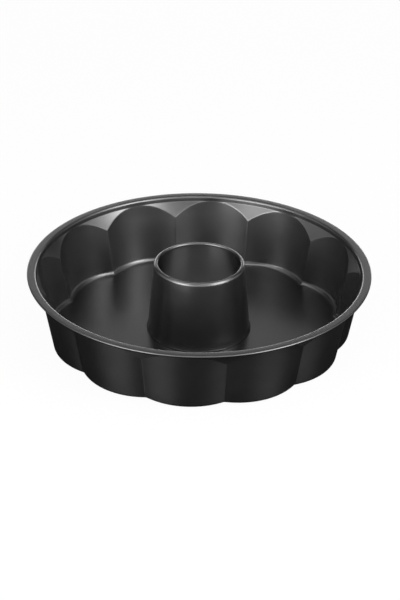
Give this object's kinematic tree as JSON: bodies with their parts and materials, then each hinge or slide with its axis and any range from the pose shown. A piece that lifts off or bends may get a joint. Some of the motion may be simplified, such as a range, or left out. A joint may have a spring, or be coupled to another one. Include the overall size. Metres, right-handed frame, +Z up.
{
  "type": "fluted ring cake pan",
  "caption": "Round fluted ring cake pan: a tapered, scalloped steel pan with a flat hemmed rim and an open centre tube clinched into its floor.",
  "frame": {"origin": "on the pan's axis, in the plane of the flat ring under the floor that the pan stands on", "axes": "+Z up along the pan's axis, out of the open top; +X and +Y each through the middle of a flute"},
  "size_m": [0.2798, 0.2798, 0.0619],
  "materials": {
    "nonstick_coating": "dark grey satin non-stick coating, baked on over drawn sheet steel, very fine grain"
  },
  "bodies": {
    "root": {"fluted_pan": "nonstick_coating", "centre_tube": "nonstick_coating"}
  },
  "joints": []
}
